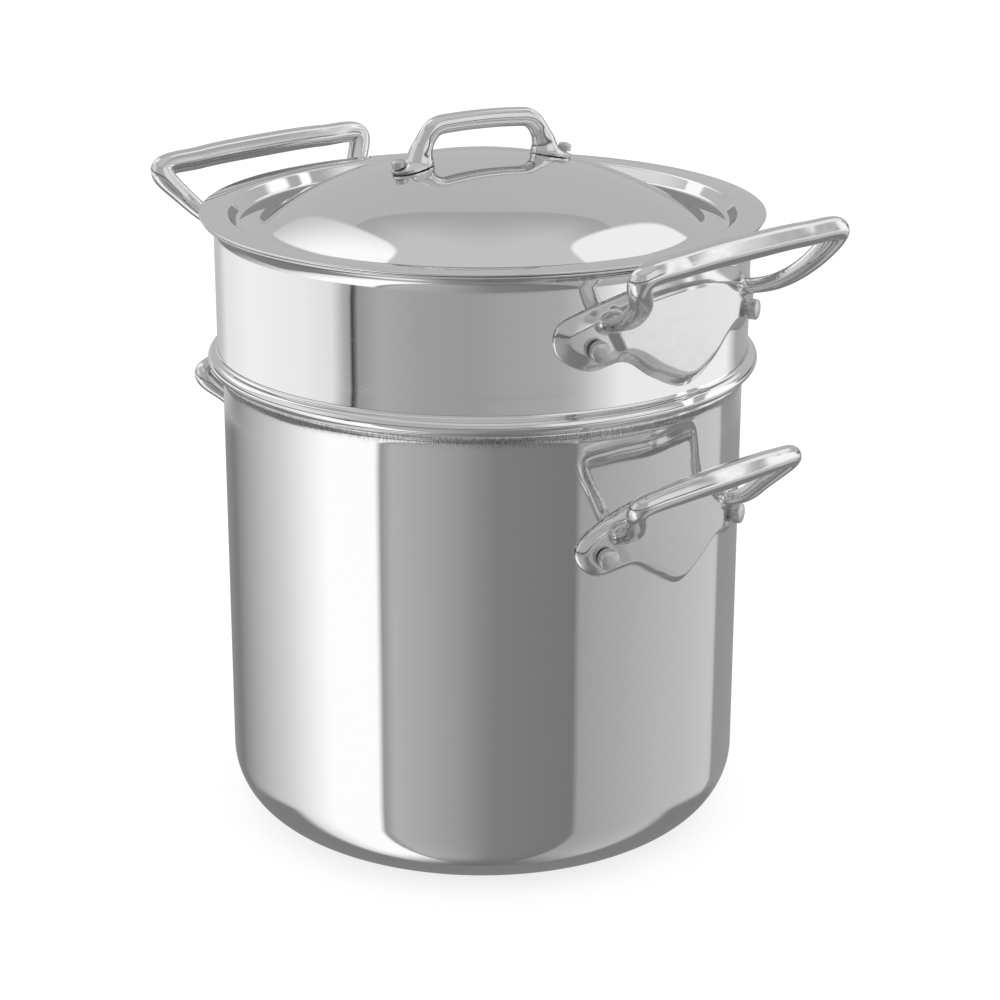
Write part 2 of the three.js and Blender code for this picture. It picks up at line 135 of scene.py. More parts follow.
# Lid handle: lengths along the handle from the lid's axis
FOOT_CENTRE = 36.0
FOOT_HALF_LENGTH = 10.2
FOOT_HALF_WIDTH = 7.6
FOOT_EDGE = 1.5
FOOT_SLOPE = 0.75
NECK_HEIGHT = 11.0
NECK_SHIFT = 4.8
NECK_OVERLAP = 2.0
NECK_FILLET = 4.0
BOW_RADIUS = 4.4
NECK_RADIUS = BOW_RADIUS - 0.6
BOW = [(29.6, 9.0), (24.5, 14.6), (15.0, 16.0)]
BOW_STEPS = 14
LID_RIVET_AT = 42.4
SPOT_FACE = 2.2
SPOT_FACE_GAP = 0.5
SPOT_FACE_ROUNDING = 0.8
BOW_ROOM = dict(length=54, width=12, foot=50, below=4, above=5)
BOW_FINENESS = 0.5

# Rivets: radius and height of the outer head, and of the flat head behind the wall
SIDE_RIVET = dict(shank=3.0, head=4.7, height=4.4, crown=0.7, round=1.0, back=6.5, back_height=1.2)
LID_RIVET = dict(shank=1.6, head=3.1, height=3.8, crown=0.8, round=0.8, back=4.0, back_height=1.0)


# Edges that turn by more than this stay sharp, in degrees.
SHARP_EDGE = 32.0


# Node tree with a short way to add nodes and to join them.
class Nodes:
    def __init__(self, tree):
        self.tree = tree

    def add(self, kind, inputs=None, **settings):
        node = self.tree.nodes.new(kind)
        for name, value in settings.items():
            setattr(node, name, value)
        for socket, value in (inputs or {}).items():
            self.feed(node.inputs[socket], value)
        return node

    def feed(self, socket, value):
        if isinstance(value, bpy.types.NodeSocket):
            self.tree.links.new(value, socket)
        else:
            socket.default_value = value

    def math(self, operation, *values):
        return self.add("ShaderNodeMath", dict(enumerate(values)), operation=operation).outputs[0]

    def vector(self, operation, *values):
        node = self.add("ShaderNodeVectorMath", dict(enumerate(values)), operation=operation)
        return node.outputs["Value" if operation == "DOT_PRODUCT" else "Vector"]

    def span(self, value, low, high, start=0.0, end=1.0):
        inputs = {"Value": value, "From Min": low, "From Max": high, "To Min": start, "To Max": end}
        return self.add("ShaderNodeMapRange", inputs, interpolation_type="SMOOTHSTEP").outputs["Result"]


# Geometry tree with named inputs for its sizes; the first input and the output are the geometry.
class Shaper(Nodes):
    def __init__(self, name, sizes):
        super().__init__(bpy.data.node_groups.new(name, "GeometryNodeTree"))
        face = self.tree.interface
        face.new_socket("Geometry", in_out="OUTPUT", socket_type="NodeSocketGeometry")
        face.new_socket("Geometry", in_out="INPUT", socket_type="NodeSocketGeometry")
        for size, kind in sizes.items():
            face.new_socket(size, in_out="INPUT", socket_type="NodeSocket" + kind)
        self.given = self.tree.nodes.new("NodeGroupInput").outputs
        self.index = self.add("GeometryNodeInputIndex").outputs[0]

    # The tree's end: real faces with their finish, smooth but for sharp edges.
    def close(self, geometry):
        real = self.add("GeometryNodeRealizeInstances", {"Geometry": geometry}).outputs[0]
        edge_angle = self.add("GeometryNodeInputMeshEdgeAngle").outputs["Unsigned Angle"]
        crease = self.math("GREATER_THAN", edge_angle, math.radians(SHARP_EDGE))
        smooth = self.add("GeometryNodeSetShadeSmooth", {0: real, "Shade Smooth": True}).outputs[0]
        sharp_inputs = {0: smooth, "Selection": crease, "Shade Smooth": False}
        sharp = self.add("GeometryNodeSetShadeSmooth", sharp_inputs, domain="EDGE").outputs[0]
        finish = self.add("GeometryNodeSetMaterial", {"Geometry": sharp, "Material": self.given["Finish"]})
        self.add("NodeGroupOutput", {"Geometry": finish.outputs[0]})

    # Number of a row and of the place in the row, for points counted row by row.
    def row_and_place(self, per_row):
        row = self.math("FLOOR", self.math("DIVIDE", self.index, per_row))
        return row, self.math("SUBTRACT", self.index, self.math("MULTIPLY", row, per_row))

    # Point at a radius, a turn in radians and a height.
    def turned(self, radius, turn, height):
        x = self.math("MULTIPLY", radius, self.math("COSINE", turn))
        y = self.math("MULTIPLY", radius, self.math("SINE", turn))
        return self.add("ShaderNodeCombineXYZ", {"X": x, "Y": y, "Z": height}).outputs[0]


# Tree that turns a section, given as a row of points in the XZ plane, about the upright axis.
def turned_tree():
    t = Shaper("turned steel", {"Segments": "Int", "Finish": "Material"})
    section = t.given["Geometry"]
    count = t.add("GeometryNodeAttributeDomainSize", {"Geometry": section}).outputs["Point Count"]
    columns = t.math("ADD", t.given["Segments"], 1)
    grid = t.add("GeometryNodeMeshGrid", {"Vertices X": columns, "Vertices Y": count}).outputs["Mesh"]
    column, place = t.row_and_place(count)
    position = t.add("GeometryNodeInputPosition").outputs[0]
    sample_inputs = {"Geometry": section, "Value": position, "Index": place}
    sampled = t.add("GeometryNodeSampleIndex", sample_inputs, data_type="FLOAT_VECTOR")
    parts = t.add("ShaderNodeSeparateXYZ", {0: sampled.outputs[0]}).outputs
    turn = t.math("MULTIPLY", t.math("DIVIDE", column, t.given["Segments"]), math.tau)
    place_inputs = {"Geometry": grid, "Position": t.turned(parts["X"], turn, parts["Z"])}
    turned = t.add("GeometryNodeSetPosition", place_inputs).outputs[0]
    merge_inputs = {"Geometry": turned, "Distance": MERGE_DISTANCE}
    t.close(t.add("GeometryNodeMergeByDistance", merge_inputs).outputs[0])
    return t.tree


# Tree that drills the basket: staggered rows in its wall, and rings in its floor.
def perforation_tree():
    sizes = {"Hole radius": "Float", "Rows": "Int", "Holes per row": "Int", "Row pitch": "Float"}
    sizes |= {"First row": "Float", "Wall radius": "Float", "Floor": "Float", "Floor holes": "Int"}
    sizes |= {"Ring pitch": "Float", "Drill length": "Float", "Finish": "Material"}
    t = Shaper("basket perforations", sizes)
    per_row = t.given["Holes per row"]
    drill_inputs = {"Vertices": 20, "Radius": t.given["Hole radius"], "Depth": t.given["Drill length"]}
    drill = t.add("GeometryNodeMeshCylinder", drill_inputs).outputs["Mesh"]

    # Turn and height of a wall hole: every other row is shifted by half a pitch
    row, place = t.row_and_place(per_row)
    stagger = t.math("ADD", t.math("MULTIPLY", t.math("MODULO", row, 2.0), 0.5), 0.25)
    turn = t.math("MULTIPLY", t.math("DIVIDE", t.math("ADD", place, stagger), per_row), math.tau)
    height = t.math("ADD", t.given["First row"], t.math("MULTIPLY", row, t.given["Row pitch"]))
    wall_inputs = {"Count": t.math("MULTIPLY", t.given["Rows"], per_row)}
    wall_inputs["Position"] = t.turned(t.given["Wall radius"], turn, height)
    wall_points = t.add("GeometryNodePoints", wall_inputs).outputs[0]
    lying = t.add("ShaderNodeCombineXYZ", {"Y": math.pi / 2, "Z": turn}).outputs[0]
    rotation = t.add("FunctionNodeEulerToRotation", {0: lying}).outputs[0]
    drill_places = {"Points": wall_points, "Instance": drill, "Rotation": rotation}
    wall_drills = t.add("GeometryNodeInstanceOnPoints", drill_places)

    # Ring and turn of a floor hole: one hole in the middle, and six more in each ring outwards
    root = t.math("SQRT", t.math("MULTIPLY_ADD", t.index, 12.0, 9.0))
    ring = t.math("CEIL", t.math("DIVIDE", t.math("SUBTRACT", root, 3.0), 6.0))
    in_ring = t.math("MAXIMUM", t.math("MULTIPLY", ring, 6.0), 1.0)
    first = t.math("MULTIPLY_ADD", t.math("MULTIPLY", ring, t.math("SUBTRACT", ring, 1.0)), 3.0, 1.0)
    ring_turn = t.math("MULTIPLY", t.math("DIVIDE", t.math("SUBTRACT", t.index, first), in_ring), math.tau)
    reach = t.math("MULTIPLY", ring, t.given["Ring pitch"])
    floor_inputs = {"Count": t.given["Floor holes"], "Position": t.turned(reach, ring_turn, t.given["Floor"])}
    floor_points = t.add("GeometryNodePoints", floor_inputs).outputs[0]
    floor_drills = t.add("GeometryNodeInstanceOnPoints", {"Points": floor_points, "Instance": drill})

    drills = t.add("GeometryNodeJoinGeometry")
    t.feed(drills.inputs[0], wall_drills.outputs[0])
    t.feed(drills.inputs[0], floor_drills.outputs[0])
    solid = t.add("GeometryNodeRealizeInstances", {"Geometry": drills.outputs[0]}).outputs[0]
    cut_inputs = {"Mesh 1": t.given["Geometry"], "Mesh 2": solid}
    cut = t.add("GeometryNodeMeshBoolean", cut_inputs, operation="DIFFERENCE", solver="EXACT")
    t.close(cut.outputs["Mesh"])
    return t.tree


# Tree that sets a rivet on each point of the host, upright on the round surface about a centre.
def rivet_tree():
    t = Shaper("rivets", {"Blank": "Object", "Centre": "Vector", "Finish": "Material"})
    blank = t.add("GeometryNodeObjectInfo", {"Object": t.given["Blank"]}).outputs["Geometry"]
    position = t.add("GeometryNodeInputPosition").outputs[0]
    outwards = t.vector("SUBTRACT", position, t.given["Centre"])
    upright = t.add("FunctionNodeAlignRotationToVector", {"Vector": outwards}, axis="Z").outputs[0]
    inputs = {"Points": t.given["Geometry"], "Instance": blank, "Rotation": upright}
    t.close(t.add("GeometryNodeInstanceOnPoints", inputs).outputs[0])
    return t.tree


# Object in the scene, from points in millimetres.
def object_from_points(name, points, faces=()):
    mesh = bpy.data.meshes.new(name)
    mesh.from_pydata((np.asarray(points) * METRE).tolist(), [], [list(face) for face in faces])
    obj = bpy.data.objects.new(name, mesh)
    bpy.context.scene.collection.objects.link(obj)
    return obj


# The object with a geometry tree run on it and turned into a plain mesh.
def shaped(obj, tree, **sizes):
    modifier = obj.modifiers.new(tree.name, "NODES")
    modifier.node_group = tree
    for socket in tree.interface.items_tree:
        key = socket.name.replace(" ", "_").lower()
        if socket.in_out == "INPUT" and key in sizes:
            modifier[socket.identifier] = sizes[key]
    mesh = bpy.data.meshes.new_from_object(obj.evaluated_get(bpy.context.evaluated_depsgraph_get()))
    obj.modifiers.clear()
    mesh.name = obj.name
    obj.data = mesh
    return obj


# Point at a radius, a turn in radians and a height.
def polar(radius, turn, height):
    return (radius * math.cos(turn), radius * math.sin(turn), height)


# Points of an arc in a section, from one angle to another in degrees.
def arc(x, y, radius, start, end, steps):
    angle = np.radians(np.linspace(start, end, steps + 1))
    return np.column_stack((x + radius * np.cos(angle), y + radius * np.sin(angle)))


# Flare at the top of an upright wall in a section.
def flared(wall, height, radius, angle):
    return arc(wall + radius, height, radius, 180, 180 - angle, 14)


# Straight run in a section, in short steps.
def run(start, end, steps):
    return np.linspace(start, end, steps + 1)


# Path through corners, each given with the radius that rounds it.
def rounded(corners, steps):
    path = [np.array(corners[0][:2])]
    for before, corner, after in zip(corners, corners[1:], corners[2:]):
        place = np.array(corner[:2])
        into = place - before[:2]
        out = np.array(after[:2]) - place
        into, out = into / np.linalg.norm(into), out / np.linalg.norm(out)
        turn = math.atan2(into[0] * out[1] - into[1] * out[0], into @ out)
        side = math.copysign(corner[2], turn)
        start = place - into * corner[2] * math.tan(abs(turn) / 2)
        centre = start + side * np.array((-into[1], into[0]))
        for share in np.linspace(0, turn, steps + 1):
            c, s = math.cos(share), math.sin(share)
            spoke = start - centre
            path.append(centre + (c * spoke[0] - s * spoke[1], s * spoke[0] + c * spoke[1]))
    path.append(np.array(corners[-1][:2]))
    return np.array(path)


# Closed section of a sheet whose path is one face of it, from the axis to a rounded free edge.
def sheet_section(face, thickness, edge_steps=6):
    face = np.vstack(face)
    face = face[np.append(True, np.linalg.norm(np.diff(face, axis=0), axis=1) > 1e-6)]
    along = np.diff(face, axis=0)
    along /= np.linalg.norm(along, axis=1)[:, None]
    into, out = np.vstack((along[:1], along)), np.vstack((along, along[-1:]))
    normal = (into + out)[:, ::-1] * (-1, 1) / (1 + np.sum(into * out, axis=1))[:, None]
    back = face + normal * thickness
    back[0] = (0, face[0, 1] + thickness)
    middle = (face[-1] + back[-1]) / 2
    turn = np.linspace(0, math.pi, edge_steps + 1)[1:-1, None]
    edge = middle + (face[-1] - middle) * np.cos(turn) + along[-1] * abs(thickness) / 2 * np.sin(turn)
    section = np.vstack((face, edge, back[::-1]))
    area = np.sum(section[:-1, 0] * section[1:, 1] - section[1:, 0] * section[:-1, 1])
    return section if area > 0 else section[::-1]


# Turned piece from its section.
def turned_piece(name, section, segments, finish):
    points = np.insert(section, 1, 0.0, axis=1)
    return shaped(object_from_points(name, points), TURNED, segments=segments, finish=finish)


# Section of the pot: floor, corner, wall and pouring lip.
def pot_section():
    lip = POT_HEIGHT - POT_WALL * math.sin(math.radians(POT_FLARE_ANGLE))
    flare = lip - POT_FLARE_RADIUS * math.sin(math.radians(POT_FLARE_ANGLE))
    return sheet_section(
        [
            run((0, 0), (POT_RADIUS - POT_CORNER, 0), 6),
            arc(POT_RADIUS - POT_CORNER, POT_CORNER, POT_CORNER, -90, 0, 20),
            run((POT_RADIUS, POT_CORNER), (POT_RADIUS, flare), 16),
            flared(POT_RADIUS, flare, POT_FLARE_RADIUS, POT_FLARE_ANGLE),
        ],
        POT_WALL,
    )


# Section of the insert: basket, ledge on the pot's rim, shoulder bead, drum and flared rim.
def insert_section():
    bead_x = POT_LIP + BEAD_OVERHANG - BEAD_RADIUS
    bead_y = INSERT_SEAT + BEAD_RADIUS
    cosine, sine = math.cos(math.radians(BEAD_TURN)), math.sin(math.radians(BEAD_TURN))
    fillet = (bead_x + BEAD_RADIUS * cosine - DRUM_RADIUS) / (1 - cosine)
    fillet_y = bead_y + (BEAD_RADIUS + fillet) * sine
    flare = RIM_HEIGHT - (INSERT_SHEET + RIM_FLARE_RADIUS) * math.sin(math.radians(RIM_FLARE_ANGLE))
    corner = BASKET_BOTTOM + BASKET_CORNER
    ledge = INSERT_SEAT - LEDGE_CORNER
    return sheet_section(
        [
            run((0, BASKET_BOTTOM), (BASKET_RADIUS - BASKET_CORNER, BASKET_BOTTOM), 8),
            arc(BASKET_RADIUS - BASKET_CORNER, corner, BASKET_CORNER, -90, 0, 14),
            run((BASKET_RADIUS, corner), (BASKET_RADIUS, ledge), 16),
            arc(BASKET_RADIUS + LEDGE_CORNER, ledge, LEDGE_CORNER, 180, 90, 6),
            arc(bead_x, bead_y, BEAD_RADIUS, -90, BEAD_TURN, 18),
            arc(DRUM_RADIUS + fillet, fillet_y, fillet, 180 + BEAD_TURN, 180, 12),
            run((DRUM_RADIUS, fillet_y), (DRUM_RADIUS, flare), 8),
            flared(DRUM_RADIUS, flare, RIM_FLARE_RADIUS, RIM_FLARE_ANGLE),
        ],
        INSERT_SHEET,
    )


# Section of the lid along its upper face: dome, valley, recess wall and flange.
def lid_section():
    base = math.asin(DOME_BASE / DOME_RADIUS)
    fillet_run = VALLEY_FILLET * math.tan(base / 2)
    arc_end = 90 - math.degrees(base - fillet_run / DOME_RADIUS)
    dome = arc(0, DOME_CENTRE, DOME_RADIUS, 90, arc_end, 48)
    rest = rounded(
        [
            (*dome[-1], 0),
            (DOME_BASE, VALLEY_HEIGHT, VALLEY_FILLET),
            (VALLEY_OUTER, VALLEY_HEIGHT, RECESS_FOOT_FILLET),
            (RECESS_TOP, FLANGE_TOP, RECESS_TOP_FILLET),
            (FLANGE_RADIUS - LID_SHEET / 2, FLANGE_TOP, 0),
        ],
        10,
    )
    return sheet_section([dome, rest], -LID_SHEET)


# Section of a rivet, corners with their roundings: back head below 0, shank through the stack, crowned head.
def rivet_section(size, stack):
    back, shank, head, crown = size["back"], size["shank"], size["head"], size["crown"]
    under = stack + 2 * HEAD_GAP
    top = under + size["height"]
    path = rounded(
        [
            (0, -size["back_height"], 0),
            (back, -size["back_height"] + 0.2, 0.5),
            (back - 0.1, 0, 0.2),
            (shank, 0, 0.1),
            (shank, under, 0.1),
            (head, under, 0.3),
            (head, top - crown, size["round"]),
            (head * 0.45, top - crown * 0.12, head * 0.9),
            (0, top, 0),
        ],
        5,
    )
    path[0, 0] = path[-1, 0] = 0
    return path


# Rivets of one body, on points given as directions about a centre.
def rivets(name, size, stack, places, centre):
    blank = turned_piece(name + "_blank", rivet_section(size, stack), RIVET_SEGMENTS, RIVET_STEEL)
    host = object_from_points(name, places)
    centre = [value * METRE for value in centre]
    done = shaped(host, RIVETS, blank=blank, centre=centre, finish=RIVET_STEEL)
    bpy.data.objects.remove(blank)
    return done


# Smooth curve through points, with spans that follow their spacing.
def spline(points, steps, closed=False):
    points = np.asarray(points, float)
    if closed:
        padded = np.vstack((points[-1:], points, points[:2]))
    else:
        padded = np.vstack((2 * points[0] - points[1], points, 2 * points[-1] - points[-2]))
    share = np.linspace(0, 1, steps, endpoint=False)[:, None]
    spans = []
    for p0, p1, p2, p3 in zip(padded, padded[1:], padded[2:], padded[3:]):
        d0, d1, d2 = (math.sqrt(np.linalg.norm(b - a)) for a, b in ((p0, p1), (p1, p2), (p2, p3)))
        start = ((p1 - p0) / d0 - (p2 - p0) / (d0 + d1) + (p2 - p1) / d1) * d1
        end = ((p2 - p1) / d1 - (p3 - p1) / (d1 + d2) + (p3 - p2) / d2) * d1
        rise = p2 - p1
        square, cube = 3 * rise - 2 * start - end, start + end - 2 * rise
        spans.append(p1 + start * share + square * share**2 + cube * share**3)
    if not closed:
        spans.append(points[-1:])
    return np.vstack(spans)


# Soft union and soft intersection of two distances.
def join_soft(a, b, width):
    share = np.clip(0.5 + 0.5 * (b - a) / width, 0, 1)
    return b + (a - b) * share - width * share * (1 - share)


def meet_soft(a, b, width):
    return -join_soft(-a, -b, width)


# Smooth step from 0 to 1 between two values.
def smooth_step(value, low, high):
    share = np.clip((value - low) / (high - low), 0, 1)
    return share * share * (3 - 2 * share)


# Share from 0 to 1 that levels off softly at 1.
def smooth_limit(value, soft=0.12):
    value = np.maximum(value, 0)
    over = np.clip((value - 1 + soft) / (2 * soft), 0, 1)
    return np.where(value < 1 - soft, value, np.minimum(1, 1 - soft + 2 * soft * (over - over**2 / 2)))


# Distance of points to a bar along a row of points, with its radius at each.
def bar_distance(points, path, radii, flat=1.0):
    flat = np.broadcast_to(flat, len(path))
    best = np.full(len(points), 1e9)
    for a, b, ra, rb, fa, fb in zip(path, path[1:], radii, radii[1:], flat, flat[1:]):
        line = b - a
        share = np.clip((points - a) @ line / (line @ line), 0, 1)
        gap = points - a - share[:, None] * line
        gap[:, 2] *= fa + (fb - fa) * share
        best = np.minimum(best, np.sqrt(np.einsum("ij,ij->i", gap, gap)) - ra - (rb - ra) * share)
    return best


# Signed distance to a closed outline, below 0 inside.
def outline_distance(x, y, outline):
    best = np.full(len(x), 1e9)
    inside = np.zeros(len(x), bool)
    for (ax, ay), (bx, by) in zip(outline, np.roll(outline, -1, axis=0)):
        lx, ly = bx - ax, by - ay
        share = np.clip(((x - ax) * lx + (y - ay) * ly) / (lx * lx + ly * ly), 0, 1)
        gx, gy = x - ax - share * lx, y - ay - share * ly
        best = np.minimum(best, gx * gx + gy * gy)
        if ay != by:
            crosses = (ay > y) != (by > y)
            inside ^= crosses & (x < ax + (y - ay) * lx / ly)
    return np.where(inside, -1, 1) * np.sqrt(best)


# Slope of a field at points.
def field_slope(field, points, step=0.04):
    slope = np.empty_like(points)
    for axis in range(3):
        shift = np.zeros(3)
        shift[axis] = step
        slope[:, axis] = (field(points + shift) - field(points - shift)) / (2 * step)
    return slope


# Closed cast surface where a field is 0, as points, square faces and outward directions.
def cast_surface(field, low, high, step, coarse_steps=4, near_steps=7, settling_rounds=3, least_slope=0.05):
    low, high = np.asarray(low, float), np.asarray(high, float)
    counts = np.ceil((high - low) / (coarse_steps * step)).astype(int) * coarse_steps + 1

    # Values on a coarse grid, made exact on the fine one near the surface
    axes = [low[k] + step * np.arange(counts[k]) for k in range(3)]
    coarse_nodes = np.stack(np.meshgrid(*[a[::coarse_steps] for a in axes], indexing="ij"), axis=-1)
    coarse = field(coarse_nodes.reshape(-1, 3)).reshape(coarse_nodes.shape[:3])
    near_index = [(np.arange(n) + coarse_steps // 2) // coarse_steps for n in counts]
    values = coarse[np.ix_(*near_index)]
    near = np.argwhere(np.abs(values) < near_steps * step)
    values[tuple(near.T)] = field(low + near * step)

    # One point in each cell that the surface crosses, at the mean of its crossed edges
    inside = values < 0
    cell = tuple(counts - 1)
    corners = [(i, j, k) for i in (0, 1) for j in (0, 1) for k in (0, 1)]

    def window(grid, corner):
        return grid[tuple(slice(start, start + size) for start, size in zip(corner, cell))]

    number = sum(window(inside, c).astype(np.int8) for c in corners)
    active = (number > 0) & (number < 8)
    places = np.argwhere(active)
    ids = np.full(cell, -1)
    ids[active] = np.arange(len(places))
    corner_values = np.column_stack([window(values, c)[active] for c in corners])
    total, hits = np.zeros((len(places), 3)), np.zeros(len(places))
    for a in range(8):
        for b in range(a + 1, 8):
            edge = np.array(corners[b]) - corners[a]
            if np.abs(edge).sum() != 1:
                continue
            va, vb = corner_values[:, a], corner_values[:, b]
            crossed = (va < 0) != (vb < 0)
            share = np.where(crossed, va / np.where(crossed, va - vb, 1), 0)
            total += crossed[:, None] * (np.array(corners[a]) + share[:, None] * edge)
            hits += crossed
    points = low + step * (places + total / hits[:, None])

    # A square face round each crossed edge of the grid
    faces = []
    for axis in range(3):
        first, second = (axis + 1) % 3, (axis + 2) % 3
        start = np.take(inside, range(counts[axis] - 1), axis)
        end = np.take(inside, range(1, counts[axis]), axis)
        for rising in (True, False):
            edges = np.argwhere((start & ~end) if rising else (~start & end))
            around = []
            for di, dj in ((0, 0), (-1, 0), (-1, -1), (0, -1)):
                place = edges.copy()
                place[:, first] += di
                place[:, second] += dj
                around.append(ids[tuple(place.T)])
            quads = np.column_stack(around)
            faces.append(quads if rising else quads[:, ::-1])

    # Points settled onto the surface
    for _ in range(settling_rounds):
        slope = field_slope(field, points)
        length = np.maximum(np.einsum("ij,ij->i", slope, slope), least_slope)
        move = slope * (field(points) / length)[:, None]
        points = points - np.clip(move, -step, step)
    slope = field_slope(field, points)
    return points, np.vstack(faces), slope / np.linalg.norm(slope, axis=1)[:, None]


# Piece from a cast surface, turned about the upright axis and lifted to its height.
def cast_piece(name, surface, turn, height):
    points, faces, normals = surface
    c, s = math.cos(math.radians(turn)), math.sin(math.radians(turn))
    spin = np.array([[c, s, 0], [-s, c, 0], [0, 0, 1]])
    obj = object_from_points(name, points @ spin + (0, 0, height), faces)
    obj.data.polygons.foreach_set("use_smooth", np.ones(len(faces), bool))
    obj.data.normals_split_custom_set_from_vertices((normals @ spin).tolist())
    obj.data.materials.append(CAST_STEEL)
    return obj


# Mirror image of points given for one half, joined to them.
def mirrored(half, axis):
    flip = np.ones(len(half[0]))
    flip[axis] = -1
    return [np.array(p) * flip for p in half[::-1]]


# Cast side handle at +X: a shield-shaped pad bent round the wall, and a loop whose legs spread as they rise.
def side_handle(grip):
    wall, upper, lower, loop = grip["wall"], grip["upper"], grip["lower"], grip["loop"]
    ring = [*upper, *mirrored(upper[:-1], 0), *mirrored(lower[:-1], 0)[::-1], *lower[::-1]]
    outline = spline(ring, 7, closed=True)

    # Point by its run along the wall, its height and its distance from the pad's back.
    def on_wall(along, up, out):
        return polar(wall + SEAT_GAP + out, along / wall, up)

    root_along, root_up = grip["root"]
    half = [on_wall(-root_along, root_up, LEG_ROOT)]
    half += [(wall + out, -along, up) for out, along, up in loop]
    path = spline([*half, *mirrored(half[:-1], 1)], LOOP_STEPS)
    length = np.append(0, np.cumsum(np.linalg.norm(np.diff(path, axis=0), axis=1)))
    swell = np.clip(np.sin(math.pi * length / length[-1]), 0, 1) ** 4
    radii = grip["leg"] + (grip["grip"] - grip["leg"]) * swell
    flat = grip["flat"] + (1 - grip["flat"]) * smooth_step(np.arange(len(path)), *OVAL_TO_ROUND)
    middle = len(path) // 2 + 1
    scoop_along, scoop_up = grip["scoop"]
    scoop = np.array(on_wall(-scoop_along, scoop_up, SCOOP_OUT))
    steep = math.radians(grip["steep"])

    def field(points):
        near = points.copy()
        near[:, 1] = -np.abs(points[:, 1])
        x, y, z = near.T
        along = wall * np.arctan2(y, x)
        out = np.hypot(x, y) - wall - SEAT_GAP
        side = outline_distance(along, z, outline)
        share = smooth_limit(-side / grip["bevel"])
        dish_from = grip["dish_from"]
        dish = smooth_step(-along - DISH_SLANT * z, dish_from, dish_from + DISH_FADE)
        thick = PAD_THICKNESS - grip["dish"] * dish
        face = grip["edge"] + (thick - grip["edge"]) * np.sin(share * steep) / math.sin(steep)
        pad = meet_soft(side, (out - face) * FACE_SLOPE, PAD_ROUNDING)
        pad = meet_soft(pad, SCOOP_RADIUS - np.linalg.norm(near - scoop, axis=1), SCOOP_ROUNDING)
        bar = bar_distance(near, path[:middle], radii, flat[:middle])
        return np.maximum(join_soft(pad, bar, LEG_FILLET), -out)

    reach = max(along for out, along, up in loop) + GRIP_ROOM["ends"]
    half_width = reach + GRIP_ROOM["sides"]
    back = wall * math.cos(reach / wall) - GRIP_ROOM["below"]
    front = wall + max(out for out, along, up in loop) + GRIP_ROOM["above"]
    bottom = min(up for along, up in lower) - GRIP_ROOM["below"]
    top = loop[-1][2] + GRIP_ROOM["above"]
    return cast_surface(field, (back, -half_width, bottom), (front, half_width, top), GRIP_FINENESS)


# Height of the dome at a distance from the axis.
def dome_height(along):
    return DOME_CENTRE + math.sqrt(DOME_RADIUS**2 - along**2)


# Cast lid handle along X: a bow on two feet that follow the dome, with a flat seat for a rivet at each tip.
def lid_handle():
    lean = math.asin(FOOT_CENTRE / DOME_RADIUS)
    c, s = math.cos(lean), math.sin(lean)
    tilt = np.array([[c, 0, s], [0, 1, 0], [-s, 0, c]])
    foot = np.array([FOOT_CENTRE, 0, dome_height(FOOT_CENTRE)])
    root = foot + tilt @ (-0.8 * NECK_SHIFT, 0, NECK_HEIGHT / 3)
    half = [tuple(root), *[(along, 0, DOME_TOP + up) for along, up in BOW]]
    path = spline([*half, *mirrored(half, 0)], BOW_STEPS)
    middle = len(path) // 2 + 1
    radii = np.full(len(path), BOW_RADIUS)
    rivet_lean = math.asin(LID_RIVET_AT / DOME_RADIUS)
    rivet_axis = np.array([math.sin(rivet_lean), 0, math.cos(rivet_lean)])
    centre = np.array([0, 0, DOME_CENTRE])

    def field(points):
        folded = points.copy()
        folded[:, 0] = np.abs(folded[:, 0])
        above = np.linalg.norm(folded - centre, axis=1) - DOME_RADIUS - SEAT_GAP
        local = (folded - foot) @ tilt
        rise = np.clip((above - FOOT_EDGE) / (NECK_HEIGHT - FOOT_EDGE), 0, 1)
        share = 1 - (1 - rise) ** 4
        long = FOOT_HALF_LENGTH + (NECK_RADIUS - FOOT_HALF_LENGTH) * share
        wide = FOOT_HALF_WIDTH + (NECK_RADIUS - FOOT_HALF_WIDTH) * share
        ratio = np.hypot((local[:, 0] + NECK_SHIFT * share) / long, local[:, 1] / wide)
        flare = (ratio - 1) * np.minimum(long, wide) * FOOT_SLOPE
        flare = meet_soft(flare, above - NECK_HEIGHT + NECK_OVERLAP, NECK_FILLET)
        body = join_soft(flare, bar_distance(folded, path[:middle], radii), NECK_FILLET)
        spoke = folded - centre
        deep = spoke @ rivet_axis
        aside = np.linalg.norm(spoke - deep[:, None] * rivet_axis, axis=1)
        seat_height = DOME_RADIUS + SEAT_GAP + SPOT_FACE
        seat = np.maximum(aside - LID_RIVET["head"] - SPOT_FACE_GAP, seat_height - deep)
        return np.maximum(meet_soft(body, -seat, SPOT_FACE_ROUNDING), -above)

    length, width = BOW_ROOM["length"], BOW_ROOM["width"]
    bottom = dome_height(BOW_ROOM["foot"]) - BOW_ROOM["below"]
    top = DOME_TOP + BOW[-1][1] + BOW_RADIUS + BOW_ROOM["above"]
    return cast_surface(field, (-length, -width, bottom), (length, width, top), BOW_FINENESS)


# Grain of the finishes on a turned piece: waves per metre out, per radian round, and per metre up
DRAWING_LINES = (2600, 0.6, 2600)
# Edge and strokes of the pot's band, which is brushed and darkened with painted shade under the insert's bead
BAND_EDGE = (1, 150, 200)
BAND_FUZZ = (1, 520, 300)

# Grain of the finishes in space: waves per metre along X, Y and Z
SMEARS = (9, 9, 4)
HAIR_SCRATCHES = (260, 1400, 900)
SHEET_WAVES = (22, 22, 16)
CAST_WAVES = (70, 70, 70)
BUFFING_MARKS = (180, 180, 420)
TOOL_MARKS = (700, 700, 700)
SATIN_PATCHES = (300, 300, 300)


